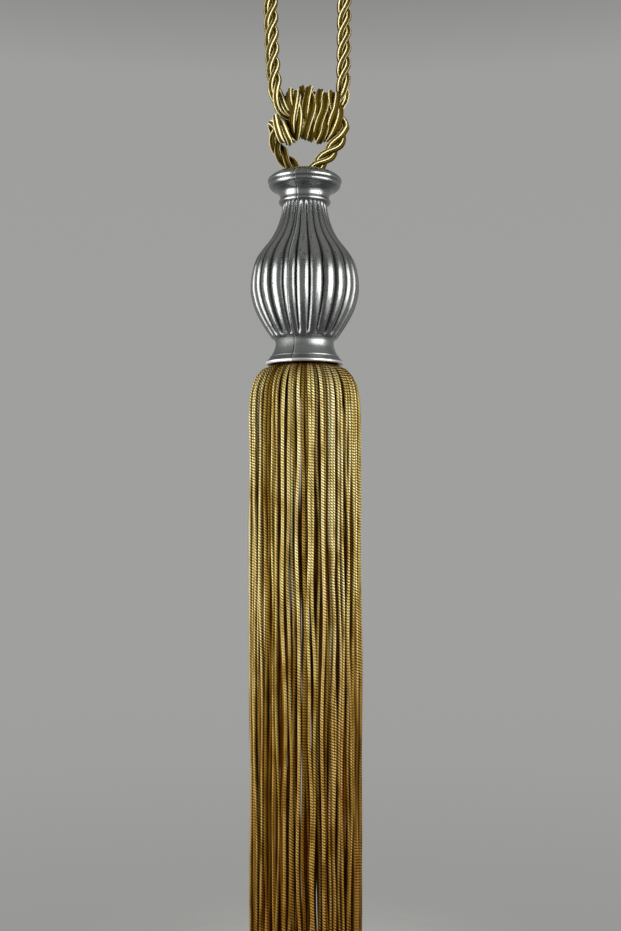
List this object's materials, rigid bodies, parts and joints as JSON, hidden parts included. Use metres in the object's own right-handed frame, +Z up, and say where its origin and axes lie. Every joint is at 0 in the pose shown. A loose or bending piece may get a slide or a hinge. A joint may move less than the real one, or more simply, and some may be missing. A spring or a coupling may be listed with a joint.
{
  "type": "curtain tieback tassel",
  "caption": "Curtain tieback: a twisted rope loop knotted above a reeded silver urn-shaped head, with a long skirt of gold twisted cords.",
  "frame": {"origin": "the hanging point, under the top bend of the rope loop", "axes": "+Z up along the tieback, +X to the right seen from the front, the front faces -Y"},
  "size_m": [0.0548, 0.0547, 0.6724],
  "materials": {
    "rope_gold": "shiny twisted viscose rope",
    "head_silver": "moulded plastic in worn silver metallic paint",
    "skirt_gold": "satin twisted viscose cord"
  },
  "bodies": {
    "root": {"rope_loop": "rope_gold", "rope_knot": "rope_gold", "rope_leg_left": "rope_gold", "rope_leg_right": "rope_gold", "head": "head_silver", "skirt": "skirt_gold"}
  },
  "joints": []
}
